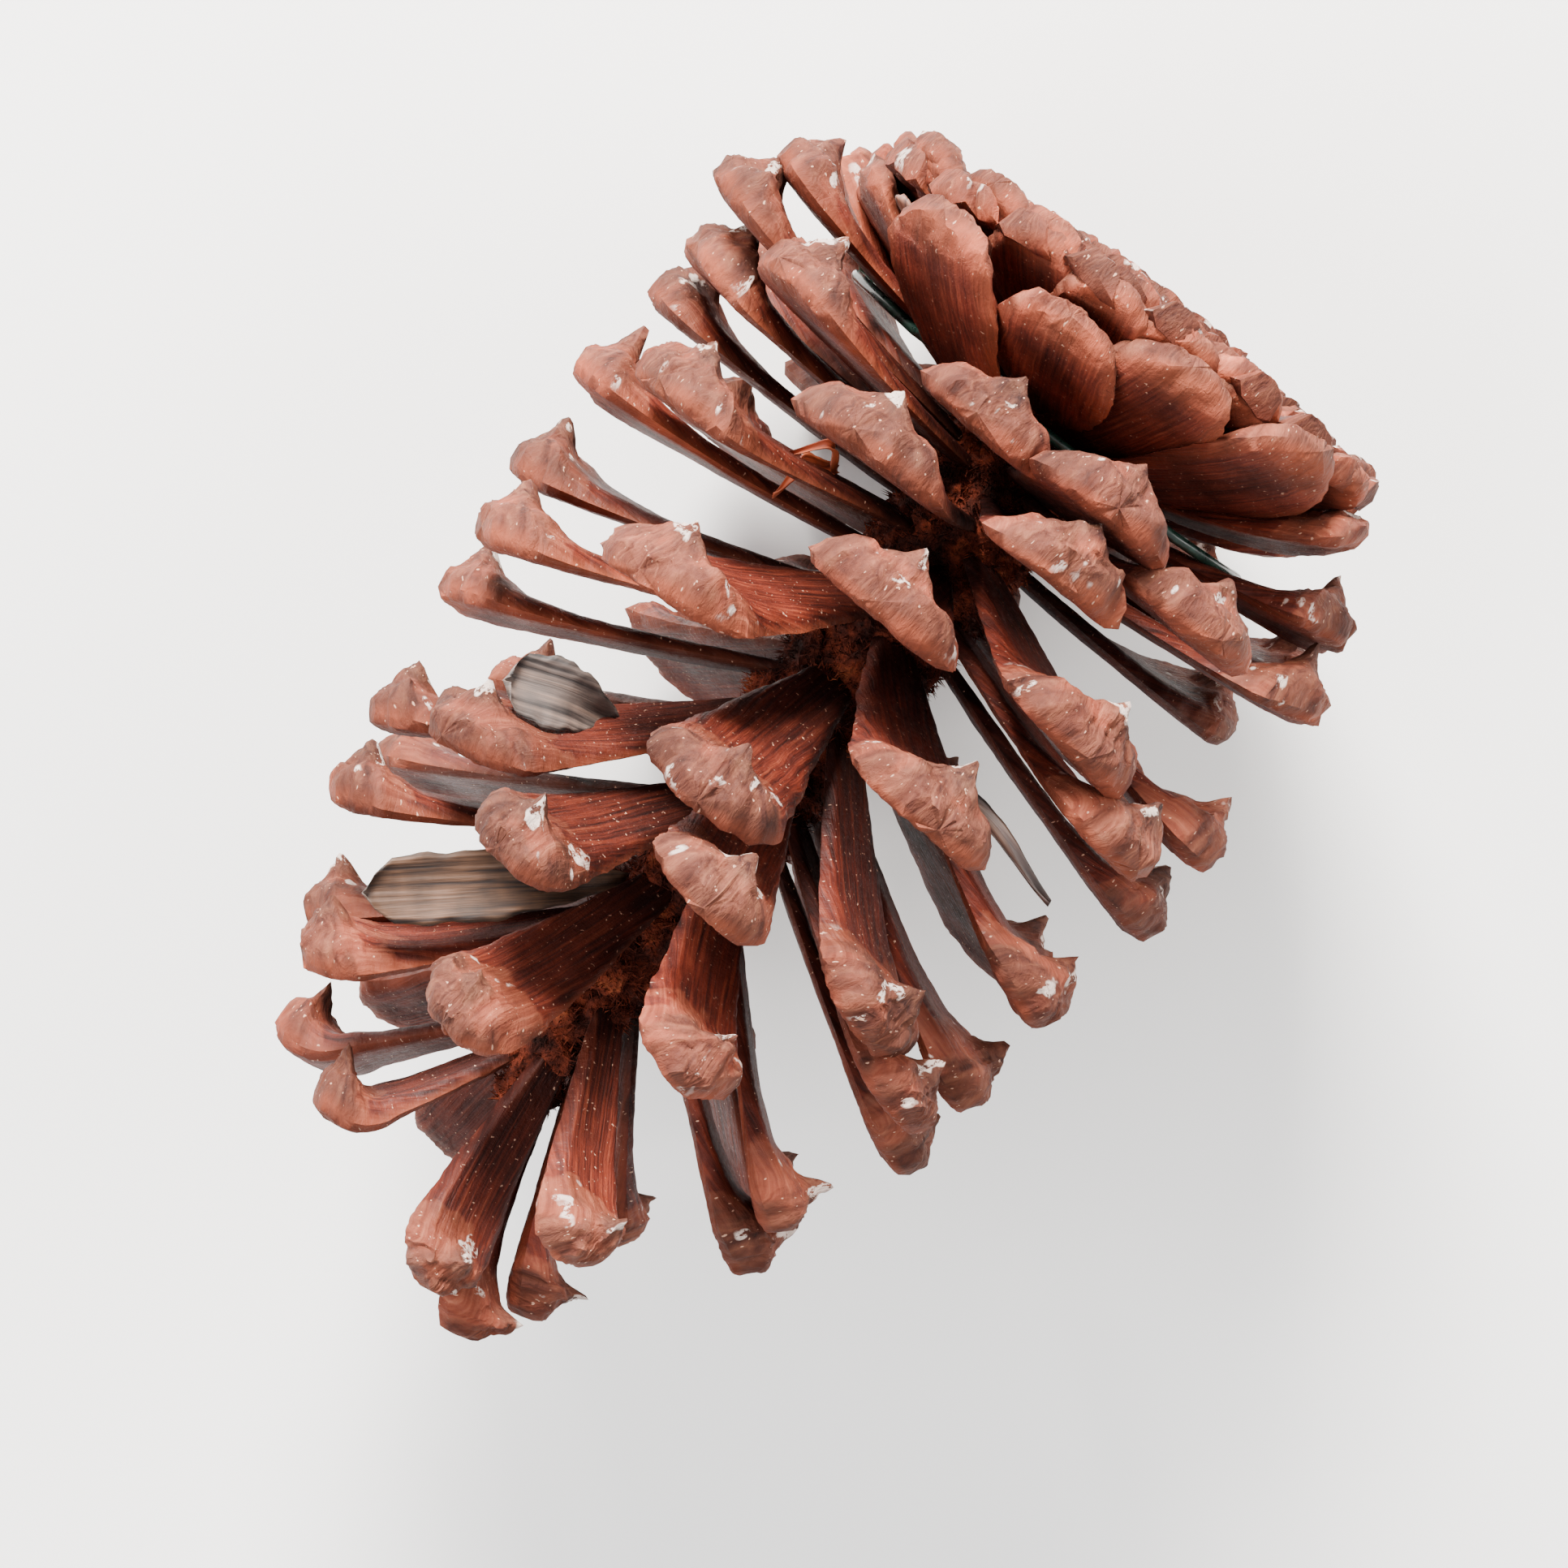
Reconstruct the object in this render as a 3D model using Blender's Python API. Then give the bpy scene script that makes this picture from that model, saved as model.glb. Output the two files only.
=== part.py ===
"""An open pine cone lying on its side, with the thin wire that is looped round its stalk end.

The cone is built upright round its own axis, in millimetres, and one empty lays it down.
Heights run along the axis, from the widest ring of the stalk end towards the tip. Azimuths
turn round the axis, from the side that lies uppermost. A scale's spread is the angle between
it and the direction of the tip: 90 stands straight out, and more leans back to the stalk.
"""

import math

import bmesh
import bpy
from mathutils import Matrix, Vector

MM = 0.001
GAP = 0.3

# The spiral that the scales grow in, from the first basal scale to the last at the tip.
SCALE_COUNT = 98
FIRST_HEIGHT = 2.9
RISE = ((5, 0.39), (15, 0.49), (34, 1.24), (98, 1.34))
FIRST_AZIMUTH = 93.7
DIVERGENCE = 137.06

# How a scale changes with its height on the axis.
SPREAD = ((2, 110), (11.2, 110), (11.5, 97), (17, 92), (34, 71), (59, 57), (81, 35), (98, 6))
LENGTH = ((2, 26), (9, 33), (14, 37), (34, 40), (60, 39), (81, 33), (98, 27))
WIDTH = ((2, 13), (10, 17.5), (25, 19), (40, 17), (52, 14.5), (65, 13), (85, 10.5), (98, 8))
AXIS_RADIUS = ((-8, 6.0), (0, 5.0), (51, 4.4), (85, 3.0), (97, 1.6))

# Scales below and above these are joined to the stalk end and to the axis, as they grow.
FIRST_FREE = 30
LAST_FREE = 85

# Some scales have broken away and left the axis bare.
MISSING = (81, 86, 88, 91)

# The closed dome of the stalk end, as radius and height.
DOME = ((0, -13.3), (6, -13), (12, -11.8), (20, -9), (29, -6.2), (34, -3.6), (33, -2), (20, 3), (5, 8))
AXIS_SPLIT = 17.6
AXIS_END = 97
AXIS_SIDES = 14
DOME_SIDES = 27

# One scale, along its length: position, half-width, ridge on the outer face, depth of the
# inner face. All but the position and the half-width are in millimetres at full width.
STATIONS = (
    (0.00, 0.26, 0.7, 0.6),
    (0.22, 0.46, 0.9, 0.7),
    (0.60, 0.84, 1.1, 0.8),
    (0.78, 1.00, 1.5, 1.0),
    (0.88, 0.92, 4.2, 1.1),
    (0.96, 0.62, 2.4, 0.9),
    (1.00, 0.34, 0.6, 0.7),
)
FULL_WIDTH = 16.0
CURL = 2.6

# Scales that stand out of the pattern: number, then turn in degrees, spread in degrees.
LEANS = {
    2: (0, -7), 7: (18, -8), 10: (-7, 0), 12: (-18, -10), 15: (5, -18), 18: (5, 8), 20: (8, 11),
    21: (-6, 2), 23: (8, -6), 25: (-5, -2), 26: (-17, -8), 28: (-20, -2), 31: (-4, -9), 33: (-15, 0),
    34: (10, 5), 36: (-5, -4), 39: (-2, -15), 41: (-10, -6), 42: (-3, -9), 44: (-5, -5), 46: (-4, 0), 47: (0, -4),
    49: (0, -10), 50: (-12, -2), 51: (20, -3), 52: (0, -3), 54: (-12, -6), 55: (3, -9), 57: (6, -9),
    59: (0, -5), 60: (8, -15), 62: (-3, -15), 63: (-2, -6), 65: (4, 0), 67: (0, -7), 68: (7, 0),
    70: (3, 0), 71: (-14, 0), 73: (4, -3), 75: (-8, 2), 76: (10, -8), 78: (-2, -7), 80: (12, -5),
    83: (-14, 0), 84: (0, 9), 89: (-15, 8), 92: (-13, -8), 93: (8, 12), 94: (6, -6),
    96: (0, 10),
}

# The wire loop and its two cut ends, which stand out side by side.
WIRE_DIAMETER = 1.2
WIRE_RADIUS = 23
WIRE_HEIGHT = 5.7
WIRE_WAVE = 0.2
TAIL_AZIMUTH = -110
TAIL_REACH = 40
TAIL_HEIGHT = -3.5
TAIL_APART = 1.1
LOOP_POINTS = 44

# Loose seed wings lying between the scales: azimuth, height, spread, distance out from the
# axis, length, width, thickness of the seed at its foot.
WINGS = {
    "winged_seed": (-60, 72, 65, 7, 28, 7.5, 2.0),
    "seed_wing_pale": (-77, 54, 75, 14, 18, 6.5, 0.6),
    "seed_wing_dark": (50, 42, 84, 10, 24, 4.5, 0.6),
}
WING_THICKNESS = 0.6

# How the cone lies: the azimuth that is uppermost, how far its tip is tilted up, and how deep
# the small worn flats are that it rests on.
UP_AZIMUTH = 12.74
TIP_UP = 8.0
FLAT_DEPTH = 0.25


def ramp(x, points):
    """The value at x on the line through the points, held level past its ends."""
    if x <= points[0][0]:
        return points[0][1]
    for (x0, y0), (x1, y1) in zip(points, points[1:]):
        if x <= x1:
            return y0 + (y1 - y0) * (x - x0) / (x1 - x0)
    return points[-1][1]


def scale_heights():
    heights = [FIRST_HEIGHT]
    while len(heights) < SCALE_COUNT:
        heights.append(heights[-1] + ramp(heights[-1], RISE))
    return heights


def radial(azimuth):
    """The direction out from the axis: the axis is +Z, and azimuth 0 is +Y."""
    angle = math.radians(azimuth)
    return Vector((math.sin(angle), math.cos(angle), 0))


def wood(name, color, roughness):
    material = bpy.data.materials.new(name)
    material.use_nodes = True
    shader = material.node_tree.nodes["Principled BSDF"]
    shader.inputs["Base Color"].default_value = (*color, 1)
    shader.inputs["Roughness"].default_value = roughness
    shader.inputs["Metallic"].default_value = 0
    return material


def add_object(name, bm, material, cone, smooth=30):
    bmesh.ops.recalc_face_normals(bm, faces=bm.faces)
    mesh = bpy.data.meshes.new(name)
    bm.to_mesh(mesh)
    bm.free()
    mesh.shade_smooth()
    mesh.set_sharp_from_angle(angle=math.radians(smooth))
    mesh.materials.append(material)
    made = bpy.data.objects.new(name, mesh)
    bpy.context.collection.objects.link(made)
    made.parent = cone
    return made


def skin(bm, rings):
    """Bridges equal rings of points in order and closes both ends."""
    loops = [[bm.verts.new(point * MM) for point in ring] for ring in rings]
    count = len(loops[0])
    for low, high in zip(loops, loops[1:]):
        for i in range(count):
            j = (i + 1) % count
            bm.faces.new((low[i], low[j], high[j], high[i]))
    bm.faces.new(loops[0][::-1])
    bm.faces.new(loops[-1])


def scale_rings(length, width):
    """Rings of one scale along +Y, its outer face +Z. Its end curls up to the outer side."""
    half = width / 2
    size = width / FULL_WIDTH
    rings = []
    for along, wide, ridge, depth in STATIONS:
        w = half * wide
        lift = CURL * (along ** 3) * length / 40
        section = (
            (w, 0.25),
            (0.45 * w, 0.62 * ridge * size + 0.25),
            (0, ridge * size + 0.25),
            (-0.45 * w, 0.62 * ridge * size + 0.25),
            (-w, 0.25),
            (0, -depth),
        )
        rings.append([Vector((x, along * length, z + lift)) for x, z in section])
    return rings


def scale_place(number, height, sunk):
    """Where a scale stands on the axis. sunk joins its foot to the axis."""
    turn, lean = LEANS.get(number, (0, 0))
    out = radial(FIRST_AZIMUTH + number * DIVERGENCE + turn)
    spread = math.radians(ramp(height, SPREAD) + lean)
    along = Vector((0, 0, math.cos(spread))) + out * math.sin(spread)
    outer = Vector((0, 0, -math.sin(spread))) + out * math.cos(spread)
    side = along.cross(outer)
    stand_off = -1.0 if sunk else GAP + abs(math.cos(spread))
    foot = Vector((0, 0, height)) + out * (ramp(height, AXIS_RADIUS) + stand_off)
    turned = Matrix((side, along, outer)).transposed().to_4x4()
    return Matrix.Translation(foot * MM) @ turned


def scale_object(name, number, height, material, cone, sunk=False):
    bm = bmesh.new()
    skin(bm, scale_rings(ramp(height, LENGTH), ramp(height, WIDTH)))
    made = add_object(name, bm, material, cone)
    made.matrix_local = scale_place(number, height, sunk)
    return made


def lathe(bm, outline, sides):
    """Turns (radius, height) points round the axis. The ends close on the axis."""
    rings = []
    for radius, height in outline:
        ring = []
        for i in range(sides):
            angle = 2 * math.pi * i / sides
            ring.append(Vector((radius * math.cos(angle), radius * math.sin(angle), height)))
        rings.append(ring)
    skin(bm, rings)


def join(base, others):
    """Unions the others into the base, and keeps them as guides that don't render."""
    for other in others:
        other.hide_render = True
        other.display_type = "WIRE"
        union = base.modifiers.new(other.name, "BOOLEAN")
        union.operation = "UNION"
        union.object = other


def stalk_end(heights, material, cone):
    """The closed dome, the thick start of the axis, and the scales that lean back on it."""
    bm = bmesh.new()
    outline = [(max(radius, 0.5), height) for radius, height in DOME]
    outline.append((ramp(AXIS_SPLIT, AXIS_RADIUS), AXIS_SPLIT))
    lathe(bm, outline, DOME_SIDES)
    base = add_object("stalk_end", bm, material, cone)
    petals = []
    for number in range(FIRST_FREE):
        name = f"basal_guide_{number:02d}"
        petals.append(scale_object(name, number, heights[number], material, cone, sunk=True))
    join(base, petals)
    return base


def cone_axis(heights, material, cone):
    """The core above the stalk end, with the last scales that are grown to its tip."""
    bm = bmesh.new()
    start = AXIS_SPLIT + GAP
    levels = [start] + [z for z in range(24, AXIS_END, 10)] + [AXIS_END]
    lathe(bm, [(ramp(z, AXIS_RADIUS), z) for z in levels], AXIS_SIDES)
    base = add_object("cone_axis", bm, material, cone)
    last = []
    for number in range(LAST_FREE, SCALE_COUNT):
        if number in MISSING:
            continue
        name = f"tip_guide_{number:02d}"
        last.append(scale_object(name, number, heights[number], material, cone, sunk=True))
    join(base, last)
    return base


def wire(material, cone):
    """One round of wire under the basal scales. Its ends run out between them."""
    half = math.degrees(TAIL_APART / WIRE_RADIUS)
    points = []
    for i in range(LOOP_POINTS):
        azimuth = TAIL_AZIMUTH + half + (360 - 2 * half) * i / (LOOP_POINTS - 1)
        wave = WIRE_WAVE * math.sin(math.radians(azimuth * 5))
        points.append(radial(azimuth) * WIRE_RADIUS + Vector((0, 0, WIRE_HEIGHT + wave)))
    sideways = radial(TAIL_AZIMUTH + 90) * TAIL_APART
    end = radial(TAIL_AZIMUTH) * TAIL_REACH + Vector((0, 0, TAIL_HEIGHT))
    middle = radial(TAIL_AZIMUTH) * (0.35 * TAIL_REACH + 0.65 * WIRE_RADIUS)
    middle.z = 0.35 * TAIL_HEIGHT + 0.65 * WIRE_HEIGHT
    points = [end + sideways, middle + sideways] + points + [middle - sideways, end - sideways]
    curve = bpy.data.curves.new("binding_wire", "CURVE")
    curve.dimensions = "3D"
    curve.bevel_depth = WIRE_DIAMETER / 2 * MM
    curve.bevel_resolution = 2
    curve.use_fill_caps = True
    curve.resolution_u = 1
    spline = curve.splines.new("POLY")
    spline.points.add(len(points) - 1)
    for place, point in zip(spline.points, points):
        place.co = (*(point * MM), 1)
    curve.materials.append(material)
    made = bpy.data.objects.new("binding_wire", curve)
    bpy.context.collection.objects.link(made)
    made.parent = cone
    return made


def wing(name, material, cone):
    """A thin seed wing, with the seed itself at the foot of the largest."""
    azimuth, height, spread, start, length, width, seed = WINGS[name]
    thin = WING_THICKNESS
    shape = ((0, 0.25, seed), (0.12, 0.6, seed), (0.25, 0.8, thin), (0.55, 1, thin), (0.85, 0.8, thin), (1, 0.3, thin))
    rings = []
    for along, wide, thick in shape:
        w = width / 2 * wide
        t = thick / 2
        cup = 0.06 * width * wide
        rings.append([Vector((x, along * length, z)) for x, z in ((w, cup), (0, t), (-w, cup), (0, -t))])
    bm = bmesh.new()
    skin(bm, rings)
    made = add_object(name, bm, material, cone)
    out = radial(azimuth)
    turn = math.radians(spread)
    along = Vector((0, 0, math.cos(turn))) + out * math.sin(turn)
    outer = Vector((0, 0, -math.sin(turn))) + out * math.cos(turn)
    foot = Vector((0, 0, height)) + out * start
    turned = Matrix((along.cross(outer), along, outer)).transposed().to_4x4()
    made.matrix_local = Matrix.Translation(foot * MM) @ turned
    return made


def lay_down(cone, nodes):
    """Turns the cone on its side and centres it over the origin. Wears flats on its lowest tips."""
    up = radial(UP_AZIMUTH)
    tilt = math.radians(TIP_UP)
    along = Vector((0, 0, math.cos(tilt))) - up * math.sin(tilt)
    upward = Vector((0, 0, math.sin(tilt))) + up * math.cos(tilt)
    turned = Matrix((along, upward.cross(along), upward)).to_4x4()
    cone.matrix_world = turned
    bpy.context.view_layer.update()
    graph = bpy.context.evaluated_depsgraph_get()
    lowest = {}
    corners = []
    for node in nodes:
        seen = node.evaluated_get(graph)
        mesh = seen.to_mesh()
        points = [seen.matrix_world @ vertex.co for vertex in mesh.vertices]
        seen.to_mesh_clear()
        lowest[node] = min(point.z for point in points)
        corners += points
    floor = min(lowest.values()) + FLAT_DEPTH * MM
    middle = [(min(point[i] for point in corners) + max(point[i] for point in corners)) / 2 for i in (0, 1)]
    cone.matrix_world = Matrix.Translation((-middle[0], -middle[1], -floor)) @ turned
    slab_mesh = bpy.data.meshes.new("floor_cutter")
    bm = bmesh.new()
    bmesh.ops.create_cube(bm, size=1, matrix=Matrix.Translation((0, 0, -0.005)) @ Matrix.Diagonal((0.3, 0.3, 0.01, 1)))
    bm.to_mesh(slab_mesh)
    bm.free()
    slab = bpy.data.objects.new("floor_cutter", slab_mesh)
    bpy.context.collection.objects.link(slab)
    slab.hide_render = True
    slab.display_type = "WIRE"
    for node in nodes:
        if lowest[node] < floor:
            cut = node.modifiers.new("flat", "BOOLEAN")
            cut.operation = "DIFFERENCE"
            cut.object = slab


def main():
    for old in list(bpy.data.objects):
        bpy.data.objects.remove(old)
    cone = bpy.data.objects.new("cone", None)
    bpy.context.collection.objects.link(cone)
    scale_wood = wood("scale_wood", (0.29, 0.10, 0.05), 0.6)
    core_wood = wood("core_wood", (0.07, 0.03, 0.02), 0.85)
    wing_skin = wood("seed_wing_skin", (0.20, 0.14, 0.10), 0.7)
    wire_coat = wood("green_wire_coat", (0.01, 0.05, 0.03), 0.35)
    heights = scale_heights()
    nodes = [stalk_end(heights, scale_wood, cone), cone_axis(heights, core_wood, cone)]
    free = [number for number in range(FIRST_FREE, LAST_FREE) if number not in MISSING]
    for count, number in enumerate(free, start=1):
        nodes.append(scale_object(f"scale_{count:02d}", number, heights[number], scale_wood, cone))
    wire(wire_coat, cone)
    for name in WINGS:
        wing(name, wing_skin, cone)
    lay_down(cone, nodes)


main()
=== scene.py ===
import math
import random

import bmesh
import bpy
from mathutils import Matrix, Vector, noise


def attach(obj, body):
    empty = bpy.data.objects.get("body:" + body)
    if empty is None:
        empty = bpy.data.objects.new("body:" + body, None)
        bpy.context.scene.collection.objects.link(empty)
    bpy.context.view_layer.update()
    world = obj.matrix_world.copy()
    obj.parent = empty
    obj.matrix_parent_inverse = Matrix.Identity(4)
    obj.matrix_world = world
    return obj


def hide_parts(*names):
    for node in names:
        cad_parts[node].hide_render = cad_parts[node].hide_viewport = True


# An open pine cone on its side, with a loop of green wire. Each scale is grown by one node
# tree from a plain blank, then set on the axis by the same spiral rule as the solid part.
# Lengths are millimetres until a piece is placed. The cone's own frame has its axis on +Z,
# from the stalk end to the tip.

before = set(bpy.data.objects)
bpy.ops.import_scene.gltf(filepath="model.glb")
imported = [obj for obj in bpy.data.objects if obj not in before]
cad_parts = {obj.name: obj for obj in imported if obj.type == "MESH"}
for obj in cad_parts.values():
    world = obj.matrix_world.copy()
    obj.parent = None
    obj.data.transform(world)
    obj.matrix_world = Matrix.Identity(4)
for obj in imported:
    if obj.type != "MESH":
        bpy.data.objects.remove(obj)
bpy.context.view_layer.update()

MM = 0.001
MATH = "ShaderNodeMath"
VECTOR = "ShaderNodeVectorMath"
MIX = "ShaderNodeMixRGB"
NOISE = "ShaderNodeTexNoise"
MAP = "ShaderNodeMapRange"
SPLIT = "ShaderNodeSeparateXYZ"
JOIN = "ShaderNodeCombineXYZ"
RAMP = "ShaderNodeValToRGB"
BUMP = "ShaderNodeBump"
ATTRIBUTE = "ShaderNodeAttribute"

# The spiral and the way a scale changes along the axis, as on the solid part. Each pair is a
# height and the value there.
SCALE_COUNT = 98
FIRST_HEIGHT = 2.9
RISE = ((5, 0.39), (15, 0.49), (34, 1.24), (98, 1.34))
FIRST_AZIMUTH = 93.7
DIVERGENCE = 137.06
SPREAD = ((2, 110), (11.2, 110), (11.5, 97), (17, 92), (34, 71), (59, 57), (81, 35), (98, 6))
LENGTH = ((2, 26), (9, 33), (14, 37), (34, 40), (60, 39), (81, 33), (98, 27))
WIDTH = ((2, 13), (10, 17.5), (25, 19), (40, 17), (52, 14.5), (65, 13), (85, 10.5), (98, 8))
AXIS_RADIUS = ((-8, 6.0), (0, 5.0), (51, 4.4), (85, 3.0), (97, 1.6))
# The closed stalk end as radius and height, flatter than on the solid part.
DOME = ((0, -10.6), (6, -10.3), (12, -9.6), (20, -8.2), (28, -6.8), (33.5, -5.8))
FIRST_FREE = 30
LAST_FREE = 85
MISSING = (81, 86, 88, 91)
AXIS_END = 97
FULL_WIDTH = 16.0
# How far single scales turn round the axis and lean from the rule, in degrees. Below number 26
# some differ from those of the solid part.
LEANS = {
    2: (12, 1), 4: (-12, -9), 7: (20, -10), 10: (-12, -1), 12: (-12, -14), 15: (4, -28), 17: (-20, 1),
    18: (5, 8), 20: (8, 0), 21: (-6, 2), 23: (13, -6), 25: (8, 0), 26: (-17, -8), 28: (-20, -2),
    31: (-4, -9), 33: (-15, 0),
    34: (10, 5), 36: (-5, -4), 39: (-2, -15), 41: (-10, -6), 42: (-3, -9), 44: (-5, -5), 46: (-4, 0),
    47: (0, -4), 49: (0, -10), 50: (-12, -2), 51: (20, -3), 52: (0, -3), 54: (-12, -6), 55: (3, -9),
    57: (6, -9),
    59: (0, -5), 60: (8, -15), 62: (-3, -15), 63: (-2, -6), 65: (4, 0), 67: (0, -7), 68: (7, 0),
    70: (3, 0), 71: (-14, 0), 73: (4, -3), 75: (-8, 2), 76: (10, -8), 78: (-2, -7), 80: (12, -5),
    83: (-14, 0), 84: (0, 9), 89: (-15, 8), 92: (-13, -8), 93: (8, 12), 94: (6, -6),
    96: (0, 10),
}

# How the cone lies, and where height 0 of its axis is, in metres.
UP_AZIMUTH = 12.74
TIP_UP = 8.0
AXIS_FOOT = Vector((-0.051634, 0.000085, 0.038762))


def ramp(x, points):
    """The value at x on the line through the points, held level past its ends."""
    if x <= points[0][0]:
        return points[0][1]
    for (x0, y0), (x1, y1) in zip(points, points[1:]):
        if x <= x1:
            return y0 + (y1 - y0) * (x - x0) / (x1 - x0)
    return points[-1][1]


def smooth(low, high, x):
    """0 below low, 1 above high, and an eased step between."""
    t = min(1.0, max(0.0, (x - low) / (high - low)))
    return t * t * (3 - 2 * t)


def radial(azimuth):
    angle = math.radians(azimuth)
    return Vector((math.sin(angle), math.cos(angle), 0))


def lying():
    """The cone's own frame, in millimetres, to the model's frame in metres."""
    up = radial(UP_AZIMUTH)
    tilt = math.radians(TIP_UP)
    along = Vector((0, 0, math.cos(tilt))) - up * math.sin(tilt)
    upward = Vector((0, 0, math.sin(tilt))) + up * math.cos(tilt)
    turned = Matrix((along, upward.cross(along), upward)).to_4x4()
    return Matrix.Translation(AXIS_FOOT) @ turned @ Matrix.Scale(MM, 4)


LAID = lying()


def linear(code):
    """A hex colour as linear red, green, blue and alpha."""
    parts = [int(code[i:i + 2], 16) / 255 for i in (1, 3, 5)]
    return (*[c / 12.92 if c <= 0.04045 else ((c + 0.055) / 1.055) ** 2.4 for c in parts], 1.0)


def add(tree, kind, *values, out=0, named=(), stops=(), **settings):
    """Adds a node with its settings and links, and returns one of its outputs."""
    node = tree.nodes.new(kind)
    for name, value in settings.items():
        setattr(node, name, value)
    given = list(zip(node.inputs, values)) + [(node.inputs[name], value) for name, value in named]
    for socket, value in given:
        if isinstance(value, bpy.types.NodeSocket):
            tree.links.new(value, socket)
        elif value is not None:
            socket.default_value = value
    if stops:
        band = node.color_ramp.elements
        while len(band) < len(stops):
            band.new(1.0)
        for element, (at, code) in zip(band, stops):
            element.position = at
            element.color = linear(code)
    return node.outputs[out]


def new_material(name):
    """A new material, its tree and its shader."""
    material = bpy.data.materials.new(name)
    material.use_nodes = True
    return material, material.node_tree, material.node_tree.nodes["Principled BSDF"]


# ---------------------------------------------------------------- materials

def scale_wood():
    """Dry pine scale wood. The strap is dark, satin and fibrous, the swollen end is dull, tan
    and wrinkled, the umbo is grey-brown, and dried resin lies on the swollen end in white crumbs."""
    material, tree, shader = new_material("pine_scale_wood")
    flat = add(tree, ATTRIBUTE, out=1, attribute_name="flat")
    zone = add(tree, ATTRIBUTE, out=1, attribute_name="zone")
    tint = add(tree, ATTRIBUTE, out=1, attribute_name="tint")
    across = add(tree, SPLIT, zone, out=0)
    along = add(tree, SPLIT, zone, out=1)
    face = add(tree, SPLIT, zone, out=2)
    warm = add(tree, SPLIT, tint, out=0)
    shade = add(tree, SPLIT, tint, out=1)
    umbo = add(tree, SPLIT, tint, out=2)
    wide = add(tree, MATH, across, operation="ABSOLUTE")

    # Wood fibres, 0.35 mm wide and 10 mm long.
    stretched = add(tree, VECTOR, flat, (2.8, 0.1, 1), operation="MULTIPLY")
    fibre = add(tree, NOISE, stretched, None, 1.0, 4.0, 0.6)
    # Broad mottling, 5 mm across.
    mottle = add(tree, NOISE, flat, None, 0.2, 3.0, 0.55)
    # Fine grain and dust, 0.5 mm across.
    grain = add(tree, NOISE, flat, None, 2.0, 4.0, 0.65)
    # Wrinkles of the swollen end, 1.2 mm apart, and rays that run out from the umbo.
    wrinkle = add(tree, NOISE, flat, None, 0.8, 5.0, 0.62, named=(("Distortion", 1.2),))
    about = add(tree, ATTRIBUTE, out=1, attribute_name="extra")
    around = add(tree, VECTOR, about, (1.2, 5.0, 1), operation="MULTIPLY")
    rays = add(tree, NOISE, around, None, 1.0, 2.0, 0.6)
    creased = add(tree, MATH, add(tree, MATH, rays, 0.55, operation="MULTIPLY"),
                  add(tree, MATH, wrinkle, 0.45, operation="MULTIPLY"), operation="ADD")

    strap = add(tree, RAMP, fibre,
                stops=((0.28, "#2b0f0a"), (0.45, "#5b2317"), (0.58, "#78331f"), (0.75, "#9c5338")))
    rosy = add(tree, RAMP, fibre,
               stops=((0.28, "#6b3222"), (0.48, "#8d4c36"), (0.62, "#a0614a"), (0.75, "#b77c63")))
    tan = add(tree, RAMP, creased,
              stops=((0.30, "#33170f"), (0.42, "#633629"), (0.54, "#80503f"), (0.70, "#a5745c")))
    inner = add(tree, RAMP, fibre,
                stops=((0.28, "#491b13"), (0.45, "#713225"), (0.6, "#8a4330"), (0.78, "#ab644b")))

    # Painted shadow: the strap stays dark up to a crisp wavy line, as if the next scale shaded it there, and
    # turns rosy past it. Below the line the strap's wood is a darker red of its own as well.
    sway = add(tree, MATH, mottle, -0.5, 0.16, operation="MULTIPLY_ADD")
    wave = add(tree, MATH, along, sway, operation="ADD")
    out_of_painted_shadow = add(tree, MAP, wave, 0.66, 0.69, 0, 1)
    keel = add(tree, MATH, wide, 0.05, wave, operation="MULTIPLY_ADD")
    swollen = add(tree, MAP, keel, 0.80, 0.86, 0, 1)
    outer = add(tree, MIX, out_of_painted_shadow, strap, rosy)
    outer = add(tree, MIX, swollen, outer, tan)
    # The umbo and its prickle are greyer, in a dark wrinkled ring.
    near = add(tree, MAP, umbo, 0.14, 0.5, 0, 1)
    outer = add(tree, MIX, add(tree, MATH, near, 0.8, operation="MULTIPLY"), outer,
                add(tree, RAMP, wrinkle, stops=((0.35, "#3a2020"), (0.48, "#694539"), (0.7, "#8f6a58"))))

    # The inner face is smooth, and pales to orange at its rim.
    rim = add(tree, MATH, add(tree, MAP, wide, 0.7, 1.0, 0, 1), add(tree, MAP, along, 0.86, 1.0, 0, 1),
              operation="MAXIMUM")
    hidden = add(tree, MATH, mottle, 0.7, wide, operation="MULTIPLY_ADD")
    hidden = add(tree, MAP, hidden, 0.5, 0.95, 0.62, 1.0)
    inner = add(tree, MIX, 1.0, inner, hidden, blend_type="MULTIPLY")
    inner = add(tree, MIX, add(tree, MATH, rim, 0.6, operation="MULTIPLY"), inner, linear("#a8603f"))
    color = add(tree, MIX, face, inner, outer)

    # Painted shade: towards the core, in the deep gaps round the scale feet, everything is darker. Each scale
    # has its own shade, a random tone, which on the rounded scales low on the axis is lighter, as painted
    # light.
    root = add(tree, MAP, along, 0.0, 0.6, 0.16, 1.0)
    color = add(tree, MIX, 1.0, color, root, blend_type="MULTIPLY")
    blotch = add(tree, MAP, mottle, 0.3, 0.7, 0.6, 1.3)
    color = add(tree, MIX, 1.0, color, blotch, blend_type="MULTIPLY")
    tone_and_painted_light = add(tree, MATH, shade, 0.24, 0.38, operation="MULTIPLY_ADD")
    color = add(tree, MIX, 1.0, color, tone_and_painted_light, blend_type="MULTIPLY")
    color = add(tree, MIX, 1.0, color, linear("#fbdecc"), blend_type="MULTIPLY")
    color = add(tree, MIX, add(tree, MATH, warm, 0.3, operation="MULTIPLY"), color,
                add(tree, MIX, 1.0, color, linear("#ffb27a"), blend_type="MULTIPLY"))

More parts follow.
